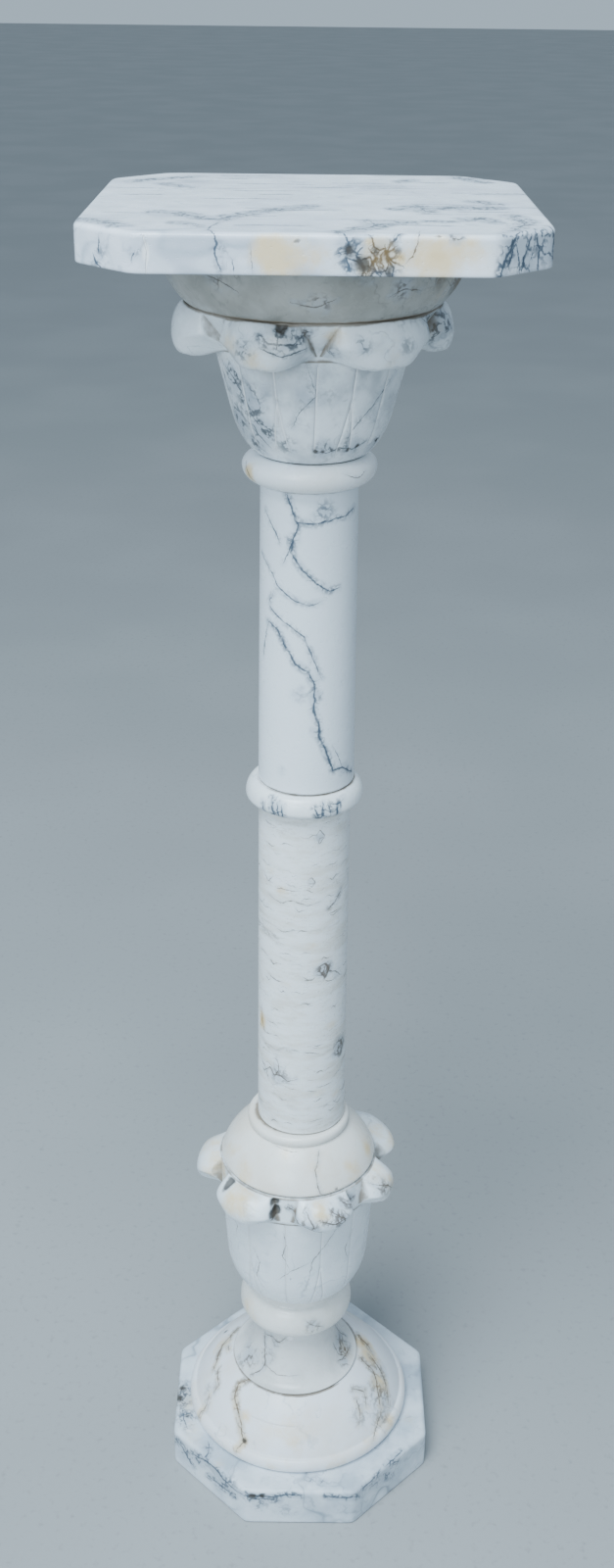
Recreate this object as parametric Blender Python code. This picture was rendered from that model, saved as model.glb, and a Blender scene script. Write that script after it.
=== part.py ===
"""Marble column pedestal, about a metre tall, built of stacked stones.

From the floor up: an octagonal plinth, a turned base (disc, neck and ring), a leaf cup with a skirt
on it, two shafts between three rings, a leaf capital, a dish and a slab with canted corners.
Metres, +Z up; the origin is on the floor, in the middle of the plinth. The front is -Y.
"""

import math

import bmesh
import bpy

# the dry joint between two stones
JOINT = 0.0003

# plinth
PLINTH_HEIGHT = 0.0347
PLINTH_LEDGE = 0.0135  # how far its sides stand out of the disc's rim
PLINTH_BACK = 0.0055  # how much further it reaches at the back, where it is cut uneven
PLINTH_ARRIS = 0.0035  # rounding of its top edge

# base disc
DISC_HEIGHT = 0.0487
DISC_RADIUS = 0.0920
DISC_ROLL_HEIGHT = 0.0125  # the half-round rim
DISC_ROLL_DEPTH = 0.0052
DISC_LEDGE = 0.0012  # what shows of its top around the neck's foot
DISC_BULGE = 0.0035  # rise of the dome over a straight cone

# neck
NECK_HEIGHT = 0.0507
NECK_FOOT_RADIUS = 0.0518
NECK_FOOT_EDGE = 0.0020
NECK_WAIST_RADIUS = 0.0315

# rings: how far each one stands out of its seats, and how high its widest line lies over its foot
LOWER_RING_HEIGHT = 0.0349
LOWER_RING_BULGE = 0.0090
LOWER_RING_RISE = 0.0113
LOWER_RING_COLLAR = 0.0070  # height of the plain collar on its top
LOWER_RING_LEDGE = 0.0045  # how far the collar stands out of the cup's foot
MIDDLE_RING_HEIGHT = 0.0167
MIDDLE_RING_BULGE = 0.0078
MIDDLE_RING_RISE = 0.0055
UPPER_RING_HEIGHT = 0.0185
UPPER_RING_BULGE = 0.0113
UPPER_RING_RISE = 0.0103

# skirt
SKIRT_HEIGHT = 0.0393
SKIRT_RIM_RADIUS = 0.0600
SKIRT_RIM_EDGE = 0.0030
SKIRT_BULGE = 0.0027
SKIRT_BEAD_HEIGHT = 0.0078
SKIRT_BEAD_DEPTH = 0.0030
SKIRT_LEDGE = 0.0030  # what shows of its top around the shaft's foot

# shafts
LOWER_SHAFT_HEIGHT = 0.2725
LOWER_SHAFT_FOOT_RADIUS = 0.0335
LOWER_SHAFT_HEAD_RADIUS = 0.0325
UPPER_SHAFT_HEIGHT = 0.2129
UPPER_SHAFT_FOOT_RADIUS = 0.0336
UPPER_SHAFT_HEAD_RADIUS = 0.0320
SHAFT_ARRIS = 0.0012

# lower leaf cup; its leaves reach out from under the skirt's rim
CUP_WALL_HEIGHT = 0.0998  # foot to where the leaves leave the wall
CUP_FOOT_RADIUS = 0.0320
CUP_BELLY_RADIUS = 0.0565
CUP_BELLY_HEIGHT = 0.0358
CUP_NECK_RADIUS = 0.0608
CUP_LEAF_HEIGHT = 0.0253  # wall to the top of the crown
CUP_LEAF_NOSE = 0.0075  # height of a leaf's round nose, under its widest line
CUP_CUSP_RISE = 0.0035  # height of the notch between two leaves, over the wall
CUP_CUSP_REACH = 0.0008
CUP_DART_FOOT = 5.0  # degrees, half the width of the flat dart over a notch, at its foot
CUP_DART_HEAD = 9.0
CUP_LEDGE = 0.0010
# hand carved and uneven: azimuth of the notch before a leaf, its reach, and how high its tip lies
CUP_LEAVES = (
    (-121.0, 0.0198, -0.0020),
    (-70.5, 0.0165, 0.0022),
    (-8.5, 0.0160, 0.0035),
    (46.0, 0.0172, 0.0018),
    (92.0, 0.0235, 0.0035),
    (156.0, 0.0180, 0.0030),
)

# capital leaf bell; its leaves end at the dish's foot
BELL_WALL_HEIGHT = 0.0690
BELL_FOOT_RADIUS = 0.0325
BELL_BELLY_RADIUS = 0.0515
BELL_BELLY_HEIGHT = 0.0275
BELL_NECK_RADIUS = 0.0622
BELL_LEAF_HEIGHT = 0.0257
BELL_LEAF_NOSE = 0.0105
BELL_CUSP_RISE = 0.0035
BELL_CUSP_REACH = 0.0010
BELL_DART_FOOT = 0.6
BELL_DART_HEAD = 9.0
BELL_LEAVES = (
    (-50.0, 0.0080, -0.0015),
    (3.0, 0.0080, -0.0015),
    (68.0, 0.0092, -0.0045),
    (128.0, 0.0085, -0.0035),
    (188.0, 0.0085, -0.0035),
    (249.0, 0.0092, -0.0035),
)

LEAF_COLUMNS = 5  # columns of facets from a notch to the middle of a leaf
UNDERSIDE_HOLLOW = 0.15  # depth of a leaf's hollow underside, as a share of its width

# dish
DISH_HEIGHT = 0.0357
DISH_FOOT_RADIUS = 0.0790
DISH_HEAD_RADIUS = 0.0950
DISH_BULGE = 0.0044

# slab
SLAB_HEIGHT = 0.0220
SLAB_OVERHANG = 0.0385  # from the dish to the middle of a side
SLAB_CANT = 0.0343  # what each canted corner takes off a side
SLAB_CORNER = 0.0060  # rounding of the upright corners
SLAB_ARRIS = 0.0030  # rounding of the top edge

# how far off the axis each group of stones sits, to the right and to the back
CENTRED = (0.0, 0.0)
DISC_SET_OFF = (-0.0022, 0.0028)
NECK_SET_OFF = (-0.0048, 0.0)
CUP_SET_OFF = (-0.0040, 0.0)
LOWER_SHAFT_SET_OFF = (-0.0021, 0.0)
UPPER_SHAFT_SET_OFF = (-0.0011, 0.0)

SEGMENTS = 40  # sides of a turned stone


# Outlines: lists of (radius, height), from the foot up


def quarter(start, end, steps, upright_first):
    """A quarter ellipse from start to end that leaves start upright, or else level."""
    points = []
    for i in range(steps + 1):
        turn = math.pi / 2 * i / steps
        across, along = (1 - math.cos(turn), math.sin(turn))
        if not upright_first:
            across, along = along, across
        points.append((start[0] + (end[0] - start[0]) * across, start[1] + (end[1] - start[1]) * along))
    return points


def bulged(start, end, bulge, steps):
    """A shallow arc from start to end that stands out of the chord by bulge."""
    (r0, z0), (r1, z1) = start, end
    length = math.hypot(r1 - r0, z1 - z0)
    points = []
    for i in range(steps + 1):
        t = i / steps
        out = 4 * bulge * t * (1 - t)
        points.append((r0 + (r1 - r0) * t + out * (z1 - z0) / length, z0 + (z1 - z0) * t - out * (r1 - r0) / length))
    return points


def bead(foot_radius, head_radius, bulge, rise, foot, height, steps):
    """A round moulding that swells out between two seats and is widest at rise over its foot."""
    widest = (max(foot_radius, head_radius) + bulge, foot + rise)
    lower = quarter((foot_radius, foot), widest, steps, False)
    upper = quarter(widest, (head_radius, foot + height), steps, True)
    return lower + upper[1:]


# Meshes


def material(name, color, roughness):
    """A Principled material of the stone's colour."""
    stone = bpy.data.materials.new(name)
    stone.use_nodes = True
    shader = stone.node_tree.nodes["Principled BSDF"]
    shader.inputs["Base Color"].default_value = (*color, 1.0)
    shader.inputs["Roughness"].default_value = roughness
    shader.inputs["Metallic"].default_value = 0.0
    stone.diffuse_color = (*color, 1.0)
    return stone


def finish(name, bm, set_off, foot, color, roughness=0.35):
    """Turns a closed bmesh, made from height 0 up, into a named stone that stands at foot."""
    bmesh.ops.recalc_face_normals(bm, faces=bm.faces)
    if bm.calc_volume(signed=True) < 0:
        bmesh.ops.reverse_faces(bm, faces=bm.faces)
    mesh = bpy.data.meshes.new(name)
    bm.to_mesh(mesh)
    bm.free()
    mesh.shade_smooth()
    mesh.set_sharp_from_angle(angle=math.radians(38))
    mesh.materials.append(material("marble_" + name, color, roughness))
    stone = bpy.data.objects.new(name, mesh)
    stone.location = (*set_off, foot)
    bpy.context.scene.collection.objects.link(stone)
    return stone


def lathe(outline, segments=SEGMENTS):
    """Spins an outline about Z and closes it with a flat face at each end."""
    bm = bmesh.new()
    row = bm.verts.layers.int.new("row")
    verts = []
    for index, (radius, height) in enumerate(outline):
        vert = bm.verts.new((radius, 0.0, height))
        vert[row] = index
        verts.append(vert)
    edges = [bm.edges.new(pair) for pair in zip(verts, verts[1:])]
    bmesh.ops.spin(
        bm, geom=verts + edges, cent=(0, 0, 0), axis=(0, 0, 1), angle=2 * math.pi, steps=segments, use_merge=True
    )
    bmesh.ops.holes_fill(bm, edges=[edge for edge in bm.edges if edge.is_boundary], sides=0)
    return bm


# Leaves


def smooth_step(low, high, value):
    """0 up to low, 1 from high on, and an even slope between."""
    t = min(1.0, max(0.0, (value - low) / (high - low)))
    return t * t * (3 - 2 * t)


def leaf_rows(wall, cusp, low, widest, top):
    """The crown's rows from the wall up, each as a point over a notch, one over a leaf's middle and two shares.

    The first share is how far up the dart the row lies, the second how full the leaf's cheeks are there.
    """
    under = bulged(wall, low, (low[0] - wall[0]) * UNDERSIDE_HOLLOW, 3)[1:]
    nose = quarter(low, widest, 3, False)[1:]
    brow = quarter(widest, top, 4, True)[1:]
    rows = []
    for index, point in enumerate(under):
        rows.append((between(wall, cusp, (index + 1) / len(under)), point, 0.0, 0.0))
    face = nose + brow
    for index, point in enumerate(face):
        share = (index + 1) / len(face)
        rows.append((between(cusp, top, share), point, share, min(1.0, (index + 1) / len(nose))))
    return rows


def between(start, end, share):
    """The point that lies a share of the way from start to end."""
    return (start[0] + (end[0] - start[0]) * share, start[1] + (end[1] - start[1]) * share)


def leaf_cup(wall, cusp, top, nose, leaves, dart_foot, dart_head):
    """A turned cup whose crown is carved into leaves, with a flat dart over the notch between two."""
    walls = [(point, point, 0.0, 0.0) for point in wall]
    crowns = []
    for notch, reach, tip in leaves:
        widest = (top[0] + reach, wall[-1][1] + tip + nose)
        low = (widest[0] - nose / 2, widest[1] - nose)
        crowns.append(walls + leaf_rows(wall[-1], cusp, low, widest, top))
    per_leaf = 2 * LEAF_COLUMNS
    segments = per_leaf * len(leaves)
    bm = lathe([leaf for notch, leaf, dart, full in crowns[0]], segments)
    row = bm.verts.layers.int["row"]
    for vert in bm.verts:
        turn = math.atan2(vert.co.y, vert.co.x) / (2 * math.pi)
        index, place = divmod(round(turn * segments) % segments, per_leaf)
        notch, leaf, dart, full = crowns[index][vert[row]]
        start = leaves[index][0]
        end = leaves[0][0] + 360.0 if index + 1 == len(leaves) else leaves[index + 1][0]
        column = min(place, per_leaf - place)
        edge = dart_foot + (dart_head - dart_foot) * dart
        inner = max(0.0, (column - 1) / (LEAF_COLUMNS - 1))
        offset = 0.0 if column == 0 else edge + ((end - start) / 2 - edge) * inner
        azimuth = math.radians(start + offset if place <= LEAF_COLUMNS else end - offset)
        swell = smooth_step(0.0, 0.85, inner) * (1 - full) + math.sin(math.pi / 2 * inner) ** 0.7 * full
        radius = notch[0] + (leaf[0] - notch[0]) * swell
        height = notch[1] + (leaf[1] - notch[1]) * smooth_step(0.1, 0.8, inner)
        vert.co = (radius * math.sin(azimuth), -radius * math.cos(azimuth), height)
    return bm


def cup_wall(foot_radius, belly_radius, belly_height, neck_radius, neck_height):
    """The outline of a cup below its leaves: a round foot that runs smoothly into a straight flare."""
    lean = (neck_radius - belly_radius) / (neck_height - belly_height)
    foot = quarter((foot_radius, 0.0), (belly_radius - lean * belly_height, belly_height), 4, False)
    leaning = [(radius + lean * height, height) for radius, height in foot]
    middle = ((belly_radius + neck_radius) / 2, (belly_height + neck_height) / 2)
    return leaning + [middle, (neck_radius, neck_height)]


# Stones


def slab(height, across, cant, corner, arris):
    """A square slab with canted corners and rounded edges, standing at height 0."""
    bm = bmesh.new()
    bmesh.ops.create_cube(bm, size=1.0)
    for vert in bm.verts:
        vert.co = (vert.co.x * across, vert.co.y * across, (vert.co.z + 0.5) * height)
    round_off(bm, [edge for edge in bm.edges if upright(edge)], cant, 1)
    round_off(bm, [edge for edge in bm.edges if upright(edge)], corner, 3)
    round_off(bm, [edge for edge in bm.edges if at_height(edge, height)], arris, 2)
    return bm


def octagon(height, across, back, arris):
    """An eight-sided block with a flat side to the front and its rear half drawn back, standing at height 0."""
    bm = bmesh.new()
    radius = across / 2 / math.cos(math.pi / 8)
    bmesh.ops.create_cone(bm, cap_ends=True, segments=8, radius1=radius, radius2=radius, depth=height)
    for vert in bm.verts:
        turn = math.atan2(vert.co.y, vert.co.x)
        turn = (math.floor(turn / (math.pi / 4)) + 0.5) * math.pi / 4
        further = back if math.sin(turn) > 0 else 0.0
        vert.co = (radius * math.cos(turn), radius * math.sin(turn) + further, vert.co.z + height / 2)
    round_off(bm, [edge for edge in bm.edges if at_height(edge, height)], arris, 3)
    return bm


def upright(edge):
    """Whether an edge runs straight up."""
    low, high = edge.verts
    return math.hypot(low.co.x - high.co.x, low.co.y - high.co.y) < 1e-6


def at_height(edge, height):
    """Whether an edge lies at a height."""
    return all(abs(vert.co.z - height) < 1e-6 for vert in edge.verts)


def round_off(bm, edges, offset, segments):
    """Bevels edges."""
    bmesh.ops.bevel(
        bm, geom=edges, offset=offset, segments=segments, profile=0.5, affect="EDGES", offset_type="OFFSET"
    )


def shaft(height, foot_radius, head_radius):
    """A tapered drum with softened ends."""
    return [
        (foot_radius - SHAFT_ARRIS, 0.0),
        (foot_radius, SHAFT_ARRIS),
        ((foot_radius + head_radius) / 2, height / 2),
        (head_radius, height - SHAFT_ARRIS),
        (head_radius - SHAFT_ARRIS, height),
    ]


def base_disc():
    """A half-round rim and a domed top that the neck's foot stands on."""
    seat = DISC_RADIUS - DISC_ROLL_DEPTH
    roll = bead(seat, seat, DISC_ROLL_DEPTH, DISC_ROLL_HEIGHT / 2, 0.0, DISC_ROLL_HEIGHT, 3)
    head = (NECK_FOOT_RADIUS + DISC_LEDGE, DISC_HEIGHT)
    return roll + bulged(roll[-1], head, DISC_BULGE, 4)[1:]


def neck():
    """A sharp-edged foot that flares down from a narrow waist."""
    flare = quarter((NECK_FOOT_RADIUS, NECK_FOOT_EDGE), (NECK_WAIST_RADIUS, NECK_HEIGHT), 7, False)
    return [(NECK_FOOT_RADIUS - NECK_FOOT_EDGE / 2, 0.0)] + flare


def lower_ring():
    """A bead with a low collar that the cup stands on."""
    collar_foot = LOWER_RING_HEIGHT - LOWER_RING_COLLAR
    collar_radius = CUP_FOOT_RADIUS + LOWER_RING_LEDGE
    swell = bead(NECK_WAIST_RADIUS, collar_radius, LOWER_RING_BULGE, LOWER_RING_RISE, 0.0, collar_foot, 4)
    return swell + [(collar_radius - LOWER_RING_LEDGE / 2, LOWER_RING_HEIGHT)]


def middle_ring():
    """The ring between the shafts."""
    return bead(
        LOWER_SHAFT_HEAD_RADIUS,
        UPPER_SHAFT_FOOT_RADIUS,
        MIDDLE_RING_BULGE,
        MIDDLE_RING_RISE,
        0.0,
        MIDDLE_RING_HEIGHT,
        4,
    )


def upper_ring():
    """The ring under the capital."""
    return bead(
        UPPER_SHAFT_HEAD_RADIUS, BELL_FOOT_RADIUS, UPPER_RING_BULGE, UPPER_RING_RISE, 0.0, UPPER_RING_HEIGHT, 4
    )


def skirt():
    """A convex skirt with a bead round its top."""
    bead_radius = LOWER_SHAFT_FOOT_RADIUS + SKIRT_LEDGE
    bead_foot = SKIRT_HEIGHT - SKIRT_BEAD_HEIGHT
    rim = (SKIRT_RIM_RADIUS, SKIRT_RIM_EDGE)
    slope = bulged(rim, (bead_radius + SKIRT_BEAD_DEPTH, bead_foot - SKIRT_BEAD_DEPTH / 2), SKIRT_BULGE, 5)
    top = bead(bead_radius, bead_radius, SKIRT_BEAD_DEPTH, SKIRT_BEAD_HEIGHT / 2, bead_foot, SKIRT_BEAD_HEIGHT, 2)
    return [(SKIRT_RIM_RADIUS - SKIRT_RIM_EDGE / 2, 0.0)] + slope + top


def dish():
    """A convex bowl that opens up to the slab."""
    return bulged((DISH_FOOT_RADIUS, 0.0), (DISH_HEAD_RADIUS, DISH_HEIGHT), DISH_BULGE, 5)


def cup():
    """The lower leaf cup."""
    wall = cup_wall(CUP_FOOT_RADIUS, CUP_BELLY_RADIUS, CUP_BELLY_HEIGHT, CUP_NECK_RADIUS, CUP_WALL_HEIGHT)
    cusp = (CUP_NECK_RADIUS + CUP_CUSP_REACH, CUP_WALL_HEIGHT + CUP_CUSP_RISE)
    top = (SKIRT_RIM_RADIUS + CUP_LEDGE, CUP_WALL_HEIGHT + CUP_LEAF_HEIGHT)
    return leaf_cup(wall, cusp, top, CUP_LEAF_NOSE, CUP_LEAVES, CUP_DART_FOOT, CUP_DART_HEAD)


def bell():
    """The capital's leaf bell."""
    wall = cup_wall(BELL_FOOT_RADIUS, BELL_BELLY_RADIUS, BELL_BELLY_HEIGHT, BELL_NECK_RADIUS, BELL_WALL_HEIGHT)
    cusp = (BELL_NECK_RADIUS + BELL_CUSP_REACH, BELL_WALL_HEIGHT + BELL_CUSP_RISE)
    top = (DISH_FOOT_RADIUS, BELL_WALL_HEIGHT + BELL_LEAF_HEIGHT)
    return leaf_cup(wall, cusp, top, BELL_LEAF_NOSE, BELL_LEAVES, BELL_DART_FOOT, BELL_DART_HEAD)


def build():
    """Stacks the thirteen stones on the floor."""
    plinth_across = 2 * (DISC_RADIUS + PLINTH_LEDGE)
    slab_across = 2 * (DISH_HEAD_RADIUS + SLAB_OVERHANG)
    lower_shaft = shaft(LOWER_SHAFT_HEIGHT, LOWER_SHAFT_FOOT_RADIUS, LOWER_SHAFT_HEAD_RADIUS)
    upper_shaft = shaft(UPPER_SHAFT_HEIGHT, UPPER_SHAFT_FOOT_RADIUS, UPPER_SHAFT_HEAD_RADIUS)
    plinth = octagon(PLINTH_HEIGHT, plinth_across, PLINTH_BACK, PLINTH_ARRIS)
    top = slab(SLAB_HEIGHT, slab_across, SLAB_CANT, SLAB_CORNER, SLAB_ARRIS)
    cup_height = CUP_WALL_HEIGHT + CUP_LEAF_HEIGHT
    bell_height = BELL_WALL_HEIGHT + BELL_LEAF_HEIGHT
    stones = (
        ("plinth", PLINTH_HEIGHT, plinth, CENTRED, (0.62, 0.61, 0.58)),
        ("base_disc", DISC_HEIGHT, lathe(base_disc()), DISC_SET_OFF, (0.72, 0.69, 0.64)),
        ("neck", NECK_HEIGHT, lathe(neck()), NECK_SET_OFF, (0.66, 0.65, 0.64)),
        ("lower_ring", LOWER_RING_HEIGHT, lathe(lower_ring()), NECK_SET_OFF, (0.74, 0.70, 0.63)),
        ("lower_leaf_cup", cup_height, cup(), CUP_SET_OFF, (0.73, 0.72, 0.70)),
        ("skirt", SKIRT_HEIGHT, lathe(skirt()), CUP_SET_OFF, (0.78, 0.74, 0.66)),
        ("lower_shaft", LOWER_SHAFT_HEIGHT, lathe(lower_shaft), LOWER_SHAFT_SET_OFF, (0.76, 0.76, 0.75)),
        ("middle_ring", MIDDLE_RING_HEIGHT, lathe(middle_ring()), LOWER_SHAFT_SET_OFF, (0.77, 0.75, 0.72)),
        ("upper_shaft", UPPER_SHAFT_HEIGHT, lathe(upper_shaft), UPPER_SHAFT_SET_OFF, (0.75, 0.75, 0.75)),
        ("upper_ring", UPPER_RING_HEIGHT, lathe(upper_ring()), UPPER_SHAFT_SET_OFF, (0.76, 0.74, 0.70)),
        ("capital_bell", bell_height, bell(), CENTRED, (0.70, 0.68, 0.65)),
        ("dish", DISH_HEIGHT, lathe(dish()), CENTRED, (0.66, 0.65, 0.64)),
        ("top_slab", SLAB_HEIGHT, top, CENTRED, (0.76, 0.76, 0.78)),
    )
    foot = 0.0
    for name, height, bm, set_off, color in stones:
        finish(name, bm, set_off, foot, color)
        foot += height + JOINT


for old in list(bpy.data.objects):
    bpy.data.objects.remove(old)
build()
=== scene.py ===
"""Looks of the marble column pedestal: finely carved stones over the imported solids, in veined marble."""

import math
import random

import bmesh
import bpy
import numpy as np
from mathutils import Matrix, Vector


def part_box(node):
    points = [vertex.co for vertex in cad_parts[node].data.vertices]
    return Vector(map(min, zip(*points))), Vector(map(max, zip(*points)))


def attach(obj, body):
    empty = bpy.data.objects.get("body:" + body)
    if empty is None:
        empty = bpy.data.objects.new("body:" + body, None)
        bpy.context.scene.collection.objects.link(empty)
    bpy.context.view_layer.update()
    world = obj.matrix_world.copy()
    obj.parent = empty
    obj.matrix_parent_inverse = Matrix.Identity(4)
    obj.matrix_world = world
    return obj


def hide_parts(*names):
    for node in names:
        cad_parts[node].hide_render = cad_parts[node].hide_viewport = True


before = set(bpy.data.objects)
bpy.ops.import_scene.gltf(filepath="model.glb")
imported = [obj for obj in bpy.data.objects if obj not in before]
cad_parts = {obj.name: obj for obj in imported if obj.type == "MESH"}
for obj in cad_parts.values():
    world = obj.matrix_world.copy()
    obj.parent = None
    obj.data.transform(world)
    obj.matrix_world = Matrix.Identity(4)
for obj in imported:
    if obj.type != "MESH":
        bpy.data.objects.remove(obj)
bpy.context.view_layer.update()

MM = 0.001


# Camera, light and floor


def set_camera():
    """The photographer's place: just over the slab's height, a metre in front, looking down."""
    camera = bpy.data.objects.new("camera", bpy.data.cameras.new("camera"))
    camera.data.sensor_width = 36.0
    camera.data.lens = 38.62
    turn = Matrix.Rotation(math.radians(63.65), 4, "X") @ Matrix.Rotation(math.radians(0.67), 4, "Z")
    camera.matrix_world = Matrix.Translation((-0.0004, -1.0640, 1.1446)) @ turn
    bpy.context.scene.collection.objects.link(camera)
    bpy.context.scene.camera = camera


def add_light(name, place, aim, size, watts, color):
    """A large soft lamp that looks at a point."""
    lamp = bpy.data.lights.new(name, "AREA")
    lamp.shape = "DISK"
    lamp.size = size
    lamp.energy = watts
    lamp.color = color
    holder = bpy.data.objects.new(name, lamp)
    holder.location = place
    holder.rotation_euler = (Vector(aim) - Vector(place)).to_track_quat("-Z", "Y").to_euler()
    bpy.context.scene.collection.objects.link(holder)


def set_light():
    """An open sky in front of the pedestal: brightest high up at the left, dimmer all round."""
    world = bpy.data.worlds.new("studio")
    world.use_nodes = True
    world.node_tree.nodes["Background"].inputs["Color"].default_value = (0.66, 0.84, 1.0, 1.0)
    world.node_tree.nodes["Background"].inputs["Strength"].default_value = 0.66
    bpy.context.scene.world = world
    add_light("high_sky", (-0.6, -1.2, 3.1), (0.0, 0.0, 0.7), 1.6, 136.0, (0.76, 0.91, 1.0))
    add_light("low_sky", (-1.15, -2.6, 1.7), (0.0, 0.0, 0.45), 1.8, 62.0, (0.76, 0.91, 1.0))


def lay_floor():
    """A pale matt floor."""
    bm = bmesh.new()
    bmesh.ops.create_grid(bm, x_segments=1, y_segments=1, size=30.0)
    bmesh.ops.translate(bm, verts=bm.verts, vec=(0.0, 0.0, -0.0005))
    floor = piece("floor", bm, [])
    paint = bpy.data.materials.new("pale_floor")
    paint.use_nodes = True
    wiring = Wiring(paint.node_tree)
    grit = wiring.noise(wiring.coordinates(), 160.0, 3.0)
    patches = wiring.noise(wiring.coordinates(), 2.2, 2.0)
    shade = wiring.mix(wiring.rise(patches, 0.35, 0.7), (0.33, 0.34, 0.345), (0.36, 0.37, 0.375))
    wiring.feed("Base Color", wiring.mix(wiring.rise(grit, 0.55, 0.8), shade, (0.29, 0.295, 0.30)))
    wiring.feed("Roughness", 0.85)
    wiring.bump(grit, 0.15, 0.0006)
    floor.data.materials.append(paint)


# Node wiring


class Wiring:
    """Adds and links shader nodes in one material or group."""

    def __init__(self, tree):
        self.tree = tree
        self.shader = tree.nodes.get("Principled BSDF")
        self.place = None

    def node(self, kind, **settings):
        made = self.tree.nodes.new("ShaderNode" + kind)
        for name, value in settings.items():
            setattr(made, name, value)
        return made

    def put(self, socket, value):
        """Links a socket to another, or sets it to a number or a colour."""
        if isinstance(value, bpy.types.NodeSocket):
            self.tree.links.new(value, socket)
        elif isinstance(value, tuple) and socket.type == "RGBA":
            socket.default_value = (*value, 1.0)
        else:
            socket.default_value = value

    def feed(self, name, value):
        """Gives the shader an input."""
        self.put(self.shader.inputs[name], value)

    def coordinates(self):
        """Object coordinates, in metres."""
        if self.place is None:
            self.place = self.node("TexCoord").outputs["Object"]
        return self.place

    def stretched(self, vector, scale):
        """A vector multiplied along each axis."""
        mapping = self.node("Mapping")
        self.put(mapping.inputs["Vector"], vector)
        mapping.inputs["Scale"].default_value = scale
        return mapping.outputs["Vector"]

    def noise(self, vector, scale, detail=2.0, roughness=0.5, color=False):
        made = self.node("TexNoise")
        self.put(made.inputs["Vector"], vector)
        self.put(made.inputs["Scale"], scale)
        made.inputs["Detail"].default_value = detail
        made.inputs["Roughness"].default_value = roughness
        return made.outputs["Color" if color else "Fac"]

    def math(self, operation, first, second=0.0, clamp=False):
        made = self.node("Math", operation=operation, use_clamp=clamp)
        self.put(made.inputs[0], first)
        self.put(made.inputs[1], second)
        return made.outputs[0]

    def plus(self, first, second):
        return self.math("ADD", first, second)

    def minus(self, first, second):
        return self.math("SUBTRACT", first, second)

    def times(self, first, second):
        return self.math("MULTIPLY", first, second)

    def vector(self, operation, first, second):
        made = self.node("VectorMath", operation=operation)
        self.put(made.inputs[0], first)
        self.put(made.inputs[1], second)
        return made.outputs[0]

    def rise(self, value, low, high):
        """0 below low, 1 over high, with a soft slope between; high below low turns it round."""
        made = self.node("MapRange", interpolation_type="SMOOTHSTEP")
        self.put(made.inputs["Value"], value)
        self.put(made.inputs["From Min"], low)
        self.put(made.inputs["From Max"], high)
        return made.outputs["Result"]

    def mix(self, share, first, second):
        """Blends two colours."""
        made = self.node("Mix", data_type="RGBA", clamp_factor=True)
        self.put(made.inputs[0], share)
        self.put(made.inputs[6], first)
        self.put(made.inputs[7], second)
        return made.outputs[2]

    def attribute(self, name):
        return self.node("Attribute", attribute_name=name).outputs["Fac"]

    def bump(self, height, strength, distance, normal=None):
        made = self.node("Bump")
        made.inputs["Strength"].default_value = strength
        made.inputs["Distance"].default_value = distance
        self.put(made.inputs["Height"], height)
        if normal is not None:
            self.put(made.inputs["Normal"], normal)
        if self.shader is not None:
            self.feed("Normal", made.outputs["Normal"])
        return made.outputs["Normal"]

    def group(self, shared, **values):
        """Places a node group and returns its output."""
        made = self.node("Group")
        made.node_tree = shared
        for name, value in values.items():
            self.put(made.inputs[name.replace("_", " ")], value)
        return made.outputs[0]


def new_group(name, numbers, colors=(), gives=("Mask", "Float")):
    """A node group that takes a place, numbers and colours; returns it, its wiring, inputs and output."""
    shared = bpy.data.node_groups.new(name, "ShaderNodeTree")
    takes = [("Vector", "Vector")]
    takes += [(label, "Float") for label in numbers] + [(label, "Color") for label in colors]
    for label, kind in takes:
        shared.interface.new_socket(name=label, in_out="INPUT", socket_type="NodeSocket" + kind)
    shared.interface.new_socket(name=gives[0], in_out="OUTPUT", socket_type="NodeSocket" + gives[1])
    entry = shared.nodes.new("NodeGroupInput")
    end = shared.nodes.new("NodeGroupOutput")
    return shared, Wiring(shared), entry.outputs, end.inputs[0]


# Meshes


def piece(name, bm, rides=("root",)):
    """Turns a bmesh into a smooth named object."""
    bmesh.ops.recalc_face_normals(bm, faces=bm.faces)
    if bm.calc_volume(signed=True) < 0:
        bmesh.ops.reverse_faces(bm, faces=bm.faces)
    mesh = bpy.data.meshes.new(name)
    bm.to_mesh(mesh)
    bm.free()
    mesh.shade_smooth()
    made = bpy.data.objects.new(name, mesh)
    bpy.context.scene.collection.objects.link(made)
    for body in rides:
        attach(made, body)
    return made


def between(start, end, share):
    """The point that lies a share of the way from start to end."""
    return (start[0] + (end[0] - start[0]) * share, start[1] + (end[1] - start[1]) * share)


def quarter(start, end, steps, upright_first):
    """A quarter ellipse from start to end that leaves start upright, or else level."""
    points = []
    for i in range(steps + 1):
        turn = math.pi / 2 * i / steps
        across, along = (1 - math.cos(turn), math.sin(turn))
        if not upright_first:
            across, along = along, across
        points.append((between(start, end, across)[0], between(start, end, along)[1]))
    return points


def bulged(start, end, bulge, steps):
    """A shallow arc from start to end that stands out of the chord by bulge."""
    run, rise = end[0] - start[0], end[1] - start[1]
    points = []
    for i in range(steps + 1):
        radius, height = between(start, end, i / steps)
        out = 4 * bulge * i / steps * (1 - i / steps) / math.hypot(run, rise)
        points.append((radius + out * rise, height - out * run))
    return points


def bead(foot_radius, head_radius, radius, rise, foot, height, steps):
    """A round moulding that swells out between two seats and is widest at rise over its foot."""
    widest = (radius, foot + rise)
    lower = quarter((foot_radius, foot), widest, steps, False)
    upper = quarter(widest, (head_radius, foot + height), steps, True)
    return lower + upper[1:]


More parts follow.
